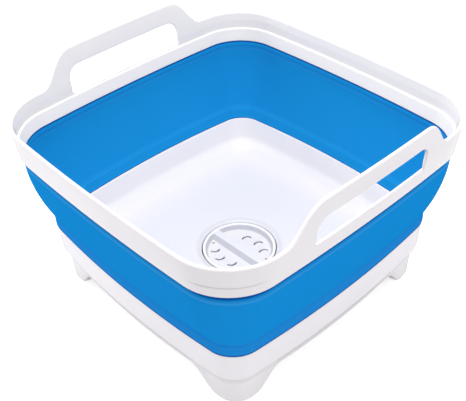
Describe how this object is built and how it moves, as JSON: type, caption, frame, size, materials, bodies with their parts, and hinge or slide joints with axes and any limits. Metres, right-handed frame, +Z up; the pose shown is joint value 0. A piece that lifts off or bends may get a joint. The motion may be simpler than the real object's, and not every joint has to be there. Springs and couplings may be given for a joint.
{
  "type": "collapsible wash basin",
  "caption": "Square collapsible wash basin with a stiff handled rim, a soft folding wall, a footed tray and a strainer plug in the drain.",
  "frame": {"origin": "bottom centre: the point on the ground under the middle of the drain", "axes": "+Z up out of the open bowl; +X and -X towards the two handles; +Y along a plain side"},
  "size_m": [0.3056, 0.3, 0.2064],
  "materials": {
    "white_polypropylene": "satin moulded",
    "blue_elastomer": "satin moulded",
    "tray_polypropylene": "satin moulded",
    "drain_plastic": "satin moulded",
    "gasket_rubber": "matt",
    "nut_plastic": "satin moulded",
    "plug_plastic": "satin moulded",
    "stem_plastic": "satin moulded",
    "washer_steel": "stamped",
    "stopper_rubber": "matt"
  },
  "bodies": {
    "base": {"base_tray": "tray_polypropylene", "drain_body": "drain_plastic", "flange_gasket": "gasket_rubber", "drain_nut": "nut_plastic", "folding_wall": "blue_elastomer"},
    "rim": {"rim_frame": "white_polypropylene"},
    "stopper": {"plug_stem": "stem_plastic", "stopper_seal": "stopper_rubber", "seal_washer": "washer_steel"},
    "strainer": {"strainer_plug": "plug_plastic"}
  },
  "joints": [
    {"name": "collapse", "type": "slide", "parent": "base", "child": "rim", "axis": [0, 0, -1], "range_m": [0, 0.098], "deforming": ["folding_wall"]},
    {"name": "plug_lift", "type": "slide", "parent": "base", "child": "stopper", "axis": [0, 0, 1], "range_m": [0, 0.008]},
    {"name": "strainer_turn", "type": "hinge", "parent": "stopper", "child": "strainer", "pos_m": [0, 0, 0.024], "axis": [0, 0, 1], "continuous": true}
  ]
}
